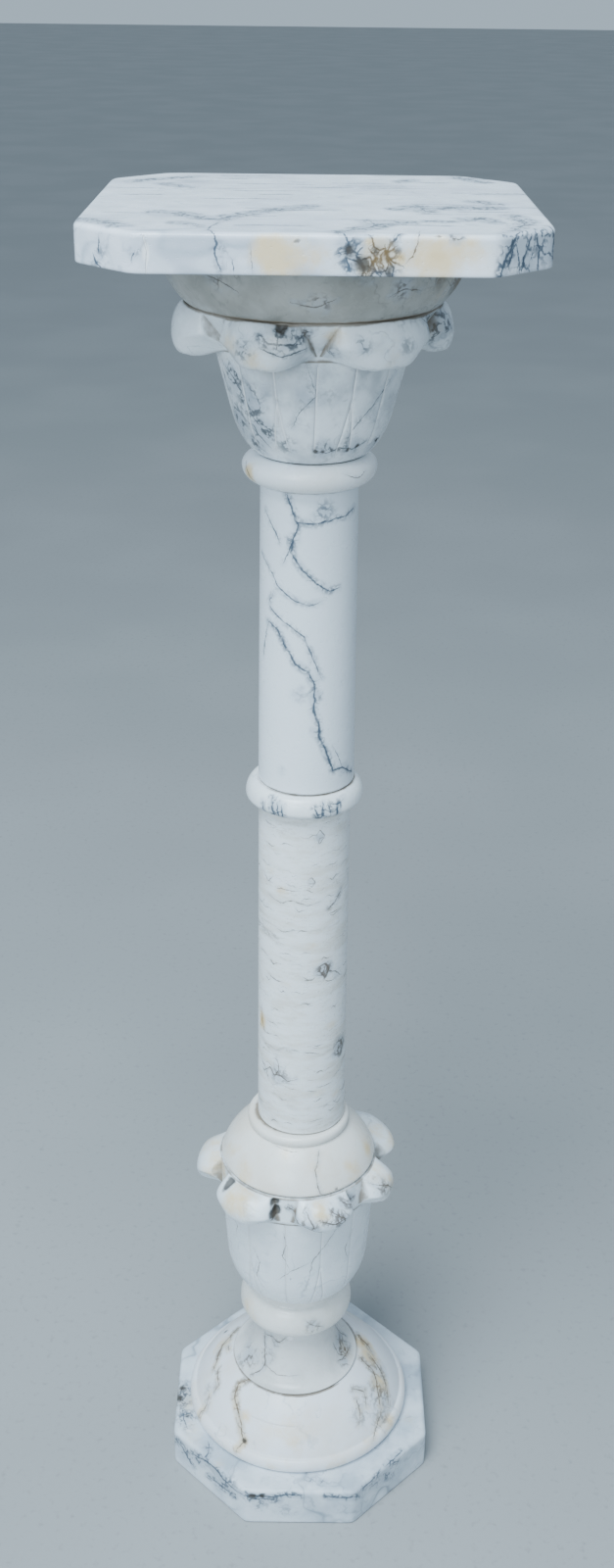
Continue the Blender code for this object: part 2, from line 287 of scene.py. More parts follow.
def filled(outline, spacing):
    """The outline with points added so that none lie further apart than spacing."""
    points = [outline[0]]
    for start, end in zip(outline, outline[1:]):
        parts = max(1, math.ceil(math.dist(start, end) / spacing))
        points.extend(between(start, end, i / parts) for i in range(1, parts + 1))
    return points


SPACING = 1.3 * MM
CAP_SPACING = 6 * MM
CAP_HOLE = 4 * MM
BLOCK_CAP_SPACING = 2.6 * MM


def capped(outline, spacing=CAP_SPACING):
    """The outline carried in over the foot and the head, nearly to the axis."""
    foot = filled([(CAP_HOLE, outline[0][1]), outline[0]], spacing)
    head = filled([outline[-1], (CAP_HOLE, outline[-1][1])], spacing)
    return foot[:-1] + outline + head[1:]


def lathe(outline, columns):
    """Spins an outline about Z and closes it with a flat face at each end."""
    bm = bmesh.new()
    row = bm.verts.layers.int.new("row")
    verts = []
    for index, (radius, height) in enumerate(outline):
        vert = bm.verts.new((radius, 0.0, height))
        vert[row] = index
        verts.append(vert)
    line = verts + [bm.edges.new(pair) for pair in zip(verts, verts[1:])]
    full = 2 * math.pi
    bmesh.ops.spin(bm, geom=line, cent=(0, 0, 0), axis=(0, 0, 1), angle=full, steps=columns, use_merge=True)
    bmesh.ops.holes_fill(bm, edges=[edge for edge in bm.edges if edge.is_boundary], sides=0)
    return bm


# A leaf cup's box isn't centred on its axis, so its centre is that of the round stone above it
ABOVE_LEAVES = {"lower_leaf_cup": "skirt", "capital_bell": "dish"}


class Stone:
    """The place and size of a packed stone."""

    def __init__(self, node):
        low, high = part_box(node)
        self.node = node
        self.foot = low.z
        self.head = high.z
        self.height = high.z - low.z
        self.radius = (high.x - low.x) / 2
        near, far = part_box(ABOVE_LEAVES.get(node, node))
        self.centre = Vector(((near.x + far.x) / 2, (near.y + far.y) / 2, 0.0))
        self.outline = [(self.radius, 0.0), (self.radius, self.height)]

    def stand(self, bm):
        """Makes the finished piece from a bmesh that was built about the axis, from height 0 up."""
        bmesh.ops.translate(bm, verts=bm.verts, vec=self.centre + Vector((0.0, 0.0, self.foot)))
        made = piece(self.node + "_marble", bm)
        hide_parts(self.node)
        return made

    def climb(self, height, radius=None):
        """Millimetres along the outline from the foot to a height over the floor, and in over the head."""
        heights = [point[1] for point in self.outline]
        gone = [0.0]
        for start, end in zip(self.outline, self.outline[1:]):
            gone.append(gone[-1] + math.dist(start, end))
        along = np.interp(np.asarray(height) - self.foot, heights, gone)
        if radius is not None:
            inside = np.maximum(0.0, self.outline[-1][0] - radius)
            along = along + np.where(np.asarray(height) > self.head - 1e-6, inside, 0.0)
        return along / MM


def turned(node, outline_of, columns=200):
    """A turned stone, from a function that gives its outline for a height and a radius."""
    stone = Stone(node)
    stone.outline = filled(outline_of(stone.height, stone.radius), SPACING)
    return stone, lathe(capped(stone.outline), columns)


def base_disc_outline(height, radius):
    """A half-round rim and a dome."""
    seat = radius - 5.2 * MM
    roll = bead(seat, seat, radius, 6.25 * MM, 0.0, 12.5 * MM, 10)
    return roll + bulged(roll[-1], (53.0 * MM, height), 3.5 * MM, 30)[1:]


def neck_outline(height, radius):
    """A sharp-edged foot that flares down from a narrow waist."""
    edge = 2.0 * MM
    return [(radius - edge / 2, 0.0)] + quarter((radius, edge), (31.5 * MM, height), 40, False)


def lower_ring_outline(height, radius):
    """A bead with a low collar that the cup stands on."""
    collar = 36.5 * MM
    swell = bead(31.5 * MM, collar, radius, 11.3 * MM, 0.0, height - 7.0 * MM, 16)
    return swell + [(34.3 * MM, height)]


def ring_outline(foot_radius, head_radius, rise):
    """A ring between two seats."""
    return lambda height, radius: bead(foot_radius, head_radius, radius, rise, 0.0, height, 16)


def skirt_outline(height, radius):
    """A convex skirt with a bead round its top."""
    seat = 36.5 * MM
    bead_foot = height - 7.8 * MM
    slope = bulged((radius, 3.0 * MM), (seat + 3.0 * MM, bead_foot - 1.5 * MM), 2.7 * MM, 30)
    top = bead(seat, seat, seat + 3.0 * MM, 3.9 * MM, bead_foot, 7.8 * MM, 8)
    return quarter((radius - 2.0 * MM, 0.0), (radius, 3.0 * MM), 4, False) + slope[1:] + top


def shaft_outline(foot_radius, head_radius):
    """A tapered drum with softened ends."""
    soft = 1.2 * MM

    def outline(height, radius):
        foot = quarter((foot_radius - soft, 0.0), (foot_radius, soft), 4, False)
        head = quarter((head_radius, height - soft), (head_radius - soft, height), 4, True)
        return foot + head

    return outline


def dish_outline(height, radius):
    """A convex bowl that opens up to the slab."""
    return bulged((79.0 * MM, 0.0), (radius, height), 4.4 * MM, 30)


# Slab and plinth: turned blocks squared off to straight sides


def block_outline(height, radius, arris):
    """A straight side with a rounded top edge."""
    soft_foot = 1.0 * MM
    foot = quarter((radius - soft_foot, 0.0), (radius, soft_foot), 3, False)
    head = quarter((radius, height - arris), (radius - arris, height), 6, True)
    return foot + head


def square_off(bm, radius, sides, softness):
    """Moves a turned block out to flat sides, each given by its azimuth and its distance from the axis."""
    for vert in bm.verts:
        x, y, z = vert.co
        share = math.hypot(x, y) / radius
        azimuth = math.atan2(x, -y)
        reach = 0.0
        for side, distance in sides:
            slope = math.cos(azimuth - side)
            if slope > 0.05:
                reach += (distance / slope) ** -softness
        reach = reach ** (-1 / softness)
        vert.co = (share * reach * math.sin(azimuth), -share * reach * math.cos(azimuth), z)


def carve_slab():
    """The canted square slab."""
    stone = Stone("top_slab")
    half = stone.radius
    cant = 34.3 * MM
    outline = filled(block_outline(stone.height, half, 3.0 * MM), 1.2 * MM)
    bm = lathe(capped(outline, BLOCK_CAP_SPACING), 512)
    sides = []
    for i in range(4):
        sides.append((math.radians(90 * i), half))
        sides.append((math.radians(90 * i + 45), (2 * half - cant) / math.sqrt(2)))
    square_off(bm, half, sides, 90)
    return stone, bm


def carve_plinth():
    """The eight-sided plinth, cut a little deeper at the back."""
    stone = Stone("plinth")
    half = stone.radius
    back = stone.centre.y * 2
    outline = filled(block_outline(stone.height, half, 3.5 * MM), 1.4 * MM)
    bm = lathe(capped(outline, BLOCK_CAP_SPACING), 400)
    sides = [(math.radians(45 * i), half) for i in range(8)]
    square_off(bm, half, sides, 110)
    for vert in bm.verts:
        vert.co.y += back * max(0.0, min(1.0, 0.5 + vert.co.y / (2 * half * math.tan(math.pi / 8))))
    stone.centre.y = 0.0
    return stone, bm


# Leaves


def smooth_step(low, high, value):
    """0 up to low, 1 from high on, and an even slope between."""
    t = min(1.0, max(0.0, (value - low) / (high - low)))
    return t * t * (3 - 2 * t)


# Columns of half a leaf, those of them that its dart takes up, and the rows under, round and over its edge
LEAF_COLUMNS = 32
FLAT_COLUMNS = 4
UNDER_ROWS = 12
NOSE_ROWS = 10
BROW_ROWS = 16
# How square a leaf's cheeks are, and the columns and the fading of the painted shade in the crease beside its
# dart
CHEEK = 2.6
CREASE_COLUMNS = 1.6
CREASE_FADE = 0.45


def leaf_rows(wall, cusp, low, widest, top):
    """The crown's rows: points over a notch and over a leaf's middle, dart's share and cheek's fullness."""
    under = bulged(wall, low, (low[0] - wall[0]) * 0.15, UNDER_ROWS)[1:]
    nose = quarter(low, widest, NOSE_ROWS, False)[1:]
    brow = quarter(widest, top, BROW_ROWS, True)[1:]
    rows = []
    for index, point in enumerate(under):
        rows.append((between(wall, cusp, (index + 1) / len(under)), point, 0.0, 0.0))
    face = nose + brow
    for index, point in enumerate(face):
        share = (index + 1) / len(face)
        rows.append((between(cusp, top, share), point, share, min(1.0, (index + 1) / len(nose))))
    return rows


def cup_wall(foot_radius, belly_radius, belly_height, neck_radius, neck_height):
    """The outline of a cup below its leaves: a round foot that runs smoothly into a straight flare."""
    lean = (neck_radius - belly_radius) / (neck_height - belly_height)
    foot = quarter((foot_radius, 0.0), (belly_radius - lean * belly_height, belly_height), 16, False)
    leaning = [(radius + lean * height, height) for radius, height in foot]
    return filled(leaning + [(neck_radius, neck_height)], SPACING)


def leaf_point(notch, leaf, full, inner):
    """Radius and height at a share inner of the way from a notch to the middle of a leaf."""
    cheek = (1 - (1 - inner) ** CHEEK) ** (1 / CHEEK)
    swell = smooth_step(0.0, 0.85, inner) * (1 - full) + cheek * full
    return between(notch, leaf, swell)[0], between(notch, leaf, smooth_step(0.1, 0.8, inner))[1]


def leaf_hollow(step, column, dart):
    """How deep a point lies in a hollow, from 0 to 1: under a leaf or in the crease beside its dart, to be
    painted as shade.
    """
    if 0 <= step < UNDER_ROWS:
        return 1 - step / UNDER_ROWS
    if UNDER_ROWS <= step < UNDER_ROWS + NOSE_ROWS + BROW_ROWS:
        return math.exp(-(((column - FLAT_COLUMNS) / CREASE_COLUMNS) ** 2)) * (1 - CREASE_FADE * dart)
    return 0.0


def carve_leaves(wall, cusp, top, nose, leaves, dart_foot, dart_head):
    """A turned cup whose crown is carved into leaves, with a flat dart over the notch between two."""
    inside = filled([(CAP_HOLE, 0.0), wall[0]], CAP_SPACING)[:-1]
    walls = [(point, point, 0.0, 0.0) for point in inside + wall]
    lid = filled([top, (CAP_HOLE, top[1])], CAP_SPACING)[1:]
    lids = [(point, point, 1.0, 1.0) for point in lid]
    crowns = []
    for notch, reach, tip in leaves:
        widest = (top[0] + reach * MM, wall[-1][1] + tip * MM + nose)
        low = (widest[0] - nose / 2, widest[1] - nose)
        crowns.append(walls + leaf_rows(wall[-1], cusp, low, widest, top) + lids)
    per_leaf = 2 * LEAF_COLUMNS
    segments = per_leaf * len(leaves)
    bm = lathe([leaf for notch, leaf, dart, full in crowns[0]], segments)
    row = bm.verts.layers.int["row"]
    # The hollow layer becomes painted shade under the leaves and in the creases beside the darts.
    hollow = bm.verts.layers.float.new("hollow")
    for vert in bm.verts:
        turn = math.atan2(vert.co.y, vert.co.x) / (2 * math.pi)
        index, place = divmod(round(turn * segments) % segments, per_leaf)
        notch, leaf, dart, full = crowns[index][vert[row]]
        start = leaves[index][0]
        end = leaves[0][0] + 360.0 if index + 1 == len(leaves) else leaves[index + 1][0]
        column = min(place, per_leaf - place)
        edge = dart_foot + (dart_head - dart_foot) * dart
        inner = max(0.0, (column - FLAT_COLUMNS) / (LEAF_COLUMNS - FLAT_COLUMNS))
        if column <= FLAT_COLUMNS:
            offset = edge * column / FLAT_COLUMNS
        else:
            offset = edge + ((end - start) / 2 - edge) * inner
        azimuth = math.radians(start + offset if place <= LEAF_COLUMNS else end - offset)
        radius, height = leaf_point(notch, leaf, full, inner)
        vert.co = (radius * math.sin(azimuth), -radius * math.cos(azimuth), height)
        vert[hollow] = leaf_hollow(vert[row] - len(walls), column, dart)
    return bm


# Leaves: the azimuth of the notch before it, and the millimetres that it stands out and up
CUP_LEAVES = (
    (-121.0, 19.8, -2.0), (-70.5, 16.5, 2.2), (-8.5, 16.0, 3.5), (46.0, 17.2, 1.8), (92.0, 23.5, 3.5),
    (156.0, 18.0, 3.0),
)
BELL_LEAVES = (
    (-50.0, 8.0, -1.5), (3.0, 8.0, -1.5), (68.0, 9.2, -4.5), (128.0, 8.5, -3.5), (188.0, 8.5, -3.5),
    (249.0, 9.2, -3.5),
)


def carve_cup():
    """The lower cup."""
    stone = Stone("lower_leaf_cup")
    skirt = Stone("skirt")
    wall = cup_wall(32.0 * MM, 56.5 * MM, 35.8 * MM, 60.8 * MM, 99.8 * MM)
    cusp = (wall[-1][0] + 0.8 * MM, wall[-1][1] + 3.5 * MM)
    top = (skirt.radius + 1.0 * MM, stone.height)
    return stone, carve_leaves(wall, cusp, top, 7.5 * MM, CUP_LEAVES, 5.0, 9.0)


def carve_bell():
    """The capital's bell."""
    stone = Stone("capital_bell")
    wall = cup_wall(32.5 * MM, 51.5 * MM, 27.5 * MM, 62.2 * MM, 69.0 * MM)
    cusp = (wall[-1][0] + 1.0 * MM, wall[-1][1] + 3.5 * MM)
    top = (79.0 * MM, stone.height)
    return stone, carve_leaves(wall, cusp, top, 10.5 * MM, BELL_LEAVES, 0.6, 9.0)


# Marble


def make_veins():
    """Vein lines: the ridges of a warped noise, broken up along their length."""
    shared, wiring, given, mask = new_group("vein_lines", ("Scale", "Warp", "Width", "Cover"))
    place, scale = given["Vector"], given["Scale"]
    drift = wiring.noise(place, wiring.times(scale, 0.8), 3.0, 0.6, color=True)
    scaled = wiring.node("VectorMath", operation="SCALE")
    wiring.put(scaled.inputs[0], wiring.vector("SUBTRACT", drift, (0.5, 0.5, 0.5)))
    wiring.put(scaled.inputs["Scale"], given["Warp"])
    warped = wiring.vector("ADD", place, scaled.outputs[0])
    ridge = wiring.math("ABSOLUTE", wiring.minus(wiring.noise(warped, scale, 2.5), 0.5))
    uneven = wiring.rise(wiring.noise(place, wiring.times(scale, 4.0)), 0.25, 0.75)
    line = wiring.rise(ridge, wiring.times(given["Width"], uneven), 0.0)
    patch = wiring.noise(place, wiring.times(scale, 0.6), 3.0, 0.6)
    low = wiring.minus(0.75, wiring.times(given["Cover"], 0.5))
    wiring.put(mask, wiring.times(line, wiring.rise(patch, low, wiring.plus(low, 0.13))))
    return shared


def make_marble(veins):
    """Marble's body: two soft tones, broad veins with a pale halo, and hairlines."""
    numbers = ("Cloudiness", "Vein Scale", "Veining", "Hairlines")
    colors = ("Ground", "Cloud", "Vein")
    shared, wiring, given, color = new_group("marble_body", numbers, colors, ("Color", "Color"))
    place, scale, vein = given["Vector"], given["Vein Scale"], given["Vein"]
    slow = wiring.noise(place, wiring.times(scale, 1.6), 4.0, 0.6)
    fine = wiring.noise(place, wiring.times(scale, 7.0), 3.0, 0.6)
    cloud = wiring.plus(wiring.rise(slow, 0.42, 0.66), wiring.times(wiring.rise(fine, 0.5, 0.7), 0.25))
    ground = wiring.mix(wiring.times(cloud, given["Cloudiness"]), given["Ground"], given["Cloud"])

    def lines(scale, warp, width, cover):
        return wiring.group(veins, Vector=place, Scale=scale, Warp=warp, Width=width, Cover=given[cover])

    broad = lines(scale, 0.06, 0.035, "Veining")
    halo = lines(scale, 0.06, 0.20, "Veining")
    hair = lines(wiring.times(scale, 3.2), 0.018, 0.035, "Hairlines")
    sharp = wiring.math("MAXIMUM", broad, wiring.times(hair, 0.6))
    ground = wiring.mix(wiring.times(halo, 0.28), ground, vein)
    wiring.put(color, wiring.mix(wiring.times(sharp, 0.7), ground, vein))
    return shared


def make_drawn_line():
    """A wavering stroke, from the signed distance to a path."""
    shared, wiring, given, mask = new_group("drawn_line", ("Distance", "Strength", "Width", "Waver"))
    place, strength = given["Vector"], given["Strength"]
    wobble = wiring.minus(wiring.noise(place, 210.0, 4.0, 0.65), 0.5)
    away = wiring.math("ABSOLUTE", wiring.plus(given["Distance"], wiring.times(wobble, given["Waver"])))
    uneven = wiring.plus(0.15, wiring.times(wiring.noise(place, 120.0, 3.0, 0.6), 1.7))
    width = wiring.times(wiring.times(given["Width"], uneven), strength)
    line = wiring.rise(away, width, wiring.times(width, 0.2))
    faint = wiring.plus(0.5, wiring.rise(wiring.noise(place, 170.0), 0.30, 0.58))
    here = wiring.math("MULTIPLY", wiring.rise(strength, 0.03, 0.6), faint, clamp=True)
    wiring.put(mask, wiring.times(line, here))
    return shared


def make_ragged(name, noise, raggedness, soft, full):
    """A mark with a ragged edge, from a smooth one. Noise is a scale, or None where each use gives it."""
    shared, wiring, given, mask = new_group(name, ("Mark", "Scale") if noise is None else ("Mark",))
    rough = wiring.noise(given["Vector"], given["Scale"] if noise is None else noise, 4.0, 0.65)
    level = wiring.plus(given["Mark"], wiring.times(wiring.minus(rough, 0.5), raggedness))
    inside = wiring.rise(given["Mark"], 0.0, full)
    wiring.put(mask, wiring.times(wiring.rise(level, soft, 0.8), inside))
    return shared


SNOW = (0.85, 0.885, 0.905)
PEARL = (0.70, 0.76, 0.81)
BLUE_GREY = (0.38, 0.44, 0.52)
STONE_GREY = (0.47, 0.47, 0.46)
SLATE = (0.06, 0.085, 0.12)
UMBER = (0.15, 0.125, 0.105)
OLIVE_BROWN = (0.16, 0.105, 0.05)
HONEY = (0.80, 0.63, 0.38)
OCHRE = (0.60, 0.38, 0.12)
SOOT = (0.045, 0.036, 0.028)
# Brown for the dirt at the joints, and also for painted shade in hollows, beside carved lines and under the
# slab.
DIRT_AND_SHADE = (0.20, 0.15, 0.10)
FROST = (0.93, 0.94, 0.95)


def marble(name, groups, ground, cloud, cloudiness=0.6, veining=0.3, hairlines=0.4, vein=BLUE_GREY, scale=9.0,
           stretch=(1.0, 1.0, 1.0), polish=0.24, ink=UMBER):
    """The finish of one stone: its body, then stains, drawn veins, cuts, and grime and painted shade from the
    piece's marks.
    """
    made = bpy.data.materials.new(name)
    made.use_nodes = True
    wiring = Wiring(made.node_tree)
    place = wiring.coordinates()

    def over(below, mask, share, above):
        return wiring.mix(wiring.times(mask, share), below, above)

    def blotch(mark, scale):
        return wiring.group(groups["blotch"], Vector=place, Mark=mark, Scale=scale)

    def drawn(layer, width, waver):
        away, strength = wiring.attribute(layer), wiring.attribute(layer + "_strength")
        line = groups["line"]
        return wiring.group(line, Vector=place, Distance=away, Strength=strength, Width=width, Waver=waver)

    color = wiring.group(
        groups["marble"], Vector=wiring.stretched(place, stretch), Ground=ground, Cloud=cloud,
        Cloudiness=cloudiness, Vein=vein, Vein_Scale=scale, Veining=veining, Hairlines=hairlines,
    )
    smoky = wiring.attribute("grey")
    golden = wiring.attribute("warm")
    stain = wiring.mix(wiring.rise(golden, 0.78, 1.0), HONEY, OCHRE)
    color = over(color, blotch(golden, 50.0), 0.95, stain)
    smoke = wiring.mix(golden, BLUE_GREY, STONE_GREY)
    color = over(color, blotch(smoky, 75.0), 0.62, smoke)
    ink = wiring.mix(wiring.rise(golden, 0.2, 0.7), ink, OLIVE_BROWN)
    web = wiring.group(groups["veins"], Vector=place, Scale=95.0, Warp=0.014, Width=0.13, Cover=1.0)
    web = wiring.times(web, wiring.rise(smoky, 0.1, 0.75))
    color = over(color, web, 0.9, ink)
    for layer in LAYERS:
        color = over(color, drawn(layer, 1.0 * MM, 3.2 * MM), 0.95, ink)
    cut = drawn("cut", 0.8 * MM, 0.3 * MM)
    bare = wiring.math("MAXIMUM", cut, wiring.rise(wiring.attribute("bare"), 0.25, 0.7))
    color = over(color, bare, 0.75, FROST)
    dark = blotch(wiring.attribute("dark"), 120.0)
    # Joint dirt, and painted shade in the leaf hollows, beside carved lines and under the slab, from the seam
    # field.
    grime_and_shade = wiring.group(groups["grime_and_shade"], Vector=place, Mark=wiring.attribute("seam_dirt_and_shade"))
    color = over(color, grime_and_shade, 0.85, DIRT_AND_SHADE)
    wiring.feed("Base Color", over(color, dark, 0.9, SOOT))
    worn = wiring.rise(wiring.noise(place, 60.0, 3.0), 0.35, 0.75)
    rough = wiring.plus(polish, wiring.times(worn, 0.14))
    rough = wiring.plus(rough, wiring.times(wiring.math("MAXIMUM", dark, grime_and_shade), 0.35))
    wiring.feed("Roughness", wiring.math("ADD", rough, wiring.times(cut, 0.2), clamp=True))
    wiring.shader.inputs["Subsurface Weight"].default_value = 0.06
    wiring.shader.inputs["Subsurface Radius"].default_value = (1.0, 0.9, 0.75)
    wiring.shader.inputs["Subsurface Scale"].default_value = 0.004
    tool_marks = wiring.bump(wiring.noise(place, 70.0, 3.0, 0.55), 0.22, 0.0010)
    pits = wiring.rise(wiring.noise(place, 420.0), 0.62, 0.75)
    low = wiring.plus(wiring.times(pits, 0.25), wiring.math("MAXIMUM", cut, dark))
    wiring.bump(wiring.minus(1.0, low), 0.7, 0.0006, tool_marks)
    return made


# Marks: a place is (azimuth in degrees from the front, millimetres over the floor) on a round stone, and
# (millimetres to the right, millimetres up), with the top laid out over the front side, on slab and plinth

LAYERS = ("vein_a", "vein_b", "vein_c")

# Millimetres beside a path: where its strength starts to fade, over how much it does, and where it keeps
# its layer for itself
FADE_START, FADE, CLEAR = 2.0, 1.2, 4.0

# Millimetres: half the width of a carved line, and where the painted shade beside it lies and how wide it is
GROOVE, RIM, RIM_WIDTH = 1.5, 1.4, 0.9


def round_chart(stone, co):
    """How far each vertex of a round stone lies from a place, across and up, in millimetres."""
    x, y = co[:, 0] - stone.centre.x, co[:, 1] - stone.centre.y
    azimuth = np.degrees(np.arctan2(x, -y))
    radius = np.hypot(x, y)
    up = stone.climb(co[:, 2], radius)

    def away(place, start):
        turn = (start[0] - azimuth + 180.0) % 360.0 - 180.0 + place[0] - start[0]
        return np.radians(turn) * radius / MM, stone.climb(place[1] * MM) - up

    return away


def flat_chart(stone, co):
    """The same for the slab and the plinth, whose tops are laid out flat over their front sides."""
    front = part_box(stone.node)[0].y
    right, up = co[:, 0] / MM, (co[:, 2] + co[:, 1] - front) / MM

    def away(place, start):
        return place[0] - right, place[1] - up

    return away


def path_distance(points):
    """Distance from the origin to a path, signed by its side, and how far along it the nearest point lies."""
    best = signed = np.full(points[0][0].shape, 1e9)
    along = np.zeros(best.shape)
    legs = len(points) - 1
    for index, ((ax, ay), (bx, by)) in enumerate(zip(points, points[1:])):
        ex, ey = bx - ax, by - ay
        t = np.clip(-(ax * ex + ay * ey) / np.maximum(ex * ex + ey * ey, 1e-9), 0.0, 1.0)
        distance = np.hypot(ax + t * ex, ay + t * ey)
        side = np.where(ax * ey - ay * ex < 0, -1.0, 1.0)
        nearer = distance < best
        signed = np.where(nearer, distance * side, signed)
        along = np.where(nearer, (index + t) / legs, along)
        best = np.minimum(best, distance)
    return best, signed, along


def vectors(items, name):
    """One vector of each item, as rows."""
    flat = np.empty(len(items) * 3, np.float32)
    items.foreach_get(name, flat)
    return flat.reshape(-1, 3).astype(float)


class Marks:
    """The marks of one stone, kept as vertex attributes."""

    def __init__(self, made, stone, chart_of):
        self.made = made
        self.co = vectors(made.data.vertices, "co")
        self.normals = vectors(made.data.vertex_normals, "vector")
        self.away = chart_of(stone, self.co)
        count = len(self.co)
        self.fields = {name: np.zeros(count) for name in ("grey", "warm", "dark", "seam_dirt_and_shade", "bare")}
        for name in LAYERS + ("cut",):
            self.fields[name] = np.full(count, 10.0 * MM)
            self.fields[name + "_strength"] = np.zeros(count)

    def spread(self, place, size, shape=1.0):
        """A soft round patch, from 0 to 1; shape over 1 makes it taller than wide."""
        across, up = self.away(place, place)
        return np.exp(-((across / size) ** 2) - (up / (size * shape)) ** 2)

    def lay(self, field, amount):
        """Adds a mark to a field where it is the stronger one."""
        self.fields[field] = np.maximum(self.fields[field], amount)

    def blots(self, field, *stains):
        """Stains of one kind, each given as across, up, size, strength and, if it isn't round, shape."""
        for across, up, size, strength, *shape in stains:
            self.lay(field, strength * self.spread((across, up), size, *shape))

    def pit(self, place, size, depth, shape=1.0, stain="dark", strength=1.8):
        """A hole or a chip, with its stain."""
        self.co -= self.normals * (depth * MM * self.spread(place, size, shape) ** 1.5)[:, None]
        self.lay(stain, strength * self.spread(place, size * 1.05, shape))

    def veins(self, *paths, halo=0.5, width=4.0, tint=0.0):
        """Veins that thin at their ends, each given as its strength and the places that it runs through."""
        for strength, *path in paths:
            best, signed, along = path_distance([self.away(place, path[0]) for place in path])
            near = best < CLEAR
            layer = min(LAYERS, key=lambda name: float(np.sum(self.fields[name + "_strength"][near])))
            self.draw(layer, strength, best, signed, along, 0.55)
            beside = min(1.0, strength) * np.exp(-((best / width) ** 2))
            self.lay("grey", halo * beside)
            self.lay("warm", tint * beside)

    def draw(self, layer, strength, best, signed, along, taper):
        """Writes a path's distance and strength into a layer where no other path is nearer."""
        nearer = best < np.abs(self.fields[layer]) / MM
        self.fields[layer] = np.where(nearer, signed * MM, self.fields[layer])
        here = strength * (1 - taper * np.abs(2 * along - 1) ** 2)
        here = here * np.clip(1 - (best - FADE_START) / FADE, 0.0, 1.0)
        layer += "_strength"
        self.fields[layer] = np.where(nearer, here, self.fields[layer])

    def scatter(self, count, seed, lefts, heights, length, strength):
        """Short wavering streaks from left to right, scattered between two azimuths and two heights."""
        chance = random.Random(seed)
        for _ in range(count):
            across, up = chance.uniform(*lefts), chance.uniform(*heights)
            reach = length * chance.uniform(0.5, 1.5)
            steps = (-0.5, -0.2, 0.15, 0.5)
            path = [(across + reach * step, up + chance.uniform(-1.6, 1.6)) for step in steps]
            self.veins((strength * chance.uniform(0.6, 1.3), *path), halo=0.45, width=3.0)

    def incise(self, path, strength=1.0, depth=0.5):
        """A carved line with a frosted bottom and painted shade along its sides."""
        best, signed, along = path_distance([self.away(place, path[0]) for place in path])
        self.draw("cut", strength, best, signed, along, 0.4)
        groove = np.clip(1 - (best / GROOVE) ** 2, 0.0, 1.0) ** 2
        self.co -= self.normals * (depth * strength * MM * groove)[:, None]
        # Painted shade: a dark line along each side of the groove, where its walls fall in shadow.
        self.lay("seam_dirt_and_shade", 0.35 * np.exp(-(((best - RIM) / RIM_WIDTH) ** 2)))

    def fork(self, azimuth, head, split, foot, sides, *look):
        """A carved line that runs down from head, and from split in two branches that end to its sides."""
        self.incise([(azimuth, head), (azimuth, split)], *look)
        for side in sides:
            self.incise([(azimuth, split), (azimuth + side, foot)], *look)

    def settle_dirt_and_shade(self, joints):
        """Dirt at the joints, given as rings, and painted shade in the carved hollows."""
        for centre, radius, height, width, strength in joints:
            from_axis = np.hypot(self.co[:, 0] - centre.x, self.co[:, 1] - centre.y)
            near = np.hypot(from_axis - radius, self.co[:, 2] - height) / MM
            self.lay("seam_dirt_and_shade", strength * np.exp(-((near / width) ** 2)))
        carved = self.made.data.attributes.get("hollow")
        if carved is not None:
            hollow = np.empty(len(self.co), np.float32)
            carved.data.foreach_get("value", hollow)
            # Painted shade: the leaf hollows are darkened as if in shadow.
            self.lay("seam_dirt_and_shade", 0.9 * hollow)

    def write(self):
        """Stores the attributes and the moved vertices."""
        mesh = self.made.data
        mesh.vertices.foreach_set("co", self.co.astype(np.float32).ravel())
        for name, values in self.fields.items():
            layer = mesh.attributes.new(name, "FLOAT", "POINT")
            layer.data.foreach_set("value", values.astype(np.float32))
        mesh.update()


